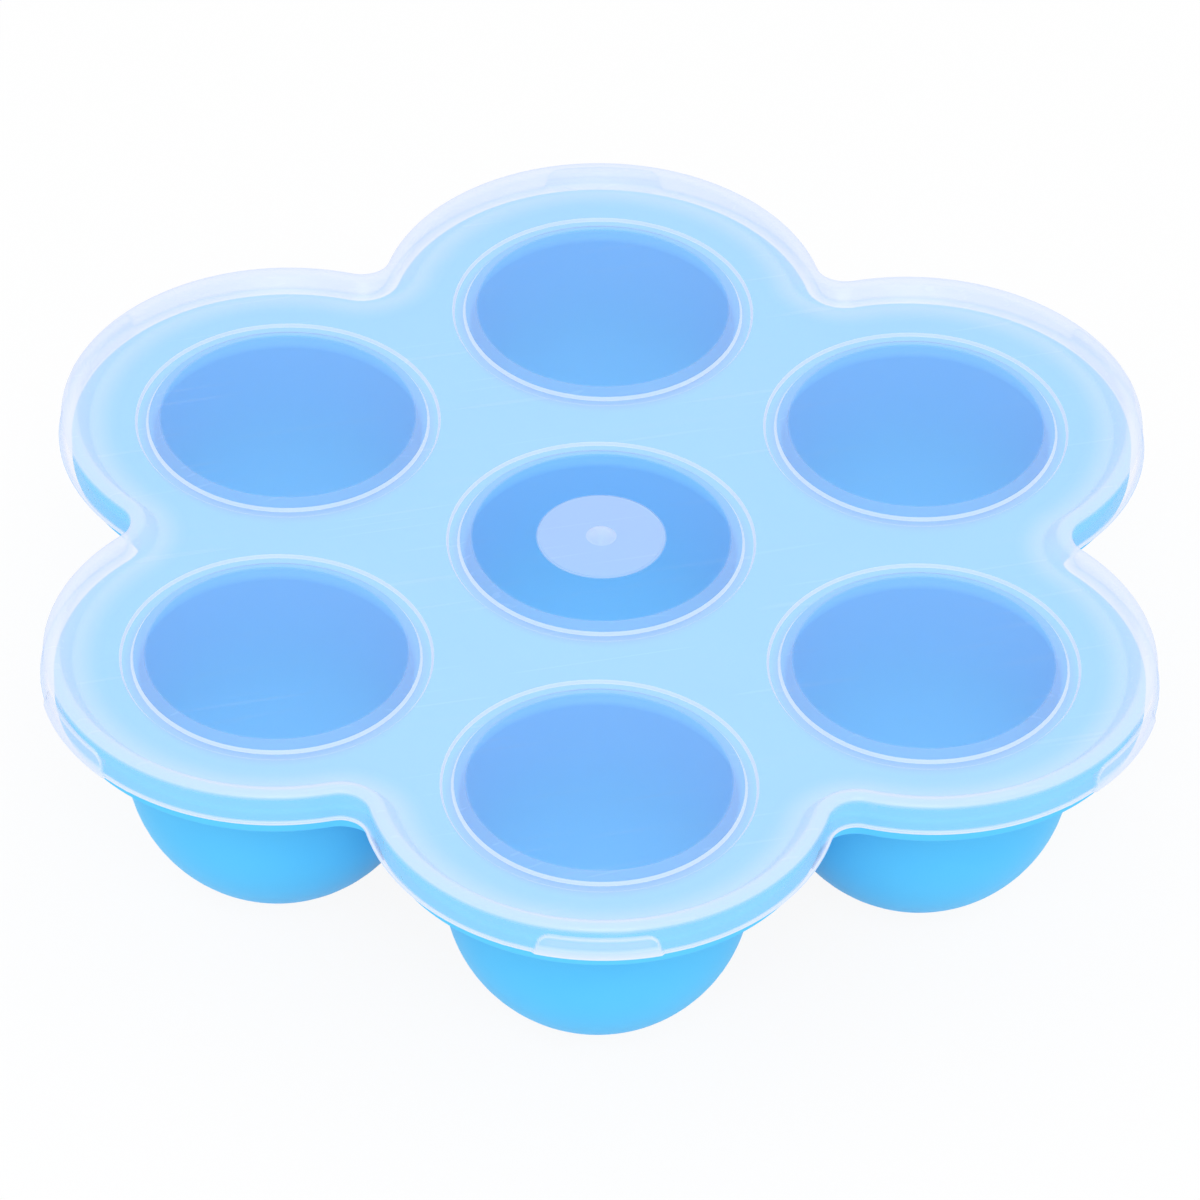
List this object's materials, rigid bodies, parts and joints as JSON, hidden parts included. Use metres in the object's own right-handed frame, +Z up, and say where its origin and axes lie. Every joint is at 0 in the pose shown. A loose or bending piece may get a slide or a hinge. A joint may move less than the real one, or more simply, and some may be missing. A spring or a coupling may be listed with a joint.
{
  "type": "baby food freezer tray",
  "caption": "Flower-shaped silicone freezer tray with round-bottomed portion cups under a translucent lift-off lid with sealing rings and clip pads.",
  "frame": {"origin": "middle of the underside: the plane of the cup feet, on the middle cup's axis", "axes": "+Z up out of the cups, along the way the lid lifts; one lobe of the flower outline points to +Y"},
  "size_m": [0.193, 0.211, 0.0505],
  "materials": {
    "silicone": "satin moulded silicone, sky blue",
    "polypropylene": "frosted translucent natural polypropylene"
  },
  "bodies": {
    "tray": {"tray": "silicone"},
    "lid": {"lid": "polypropylene"}
  },
  "joints": [
    {"name": "lid_lift", "type": "slide", "parent": "tray", "child": "lid", "axis": [0, 0, 1], "range_m": [0, 0.06]}
  ]
}
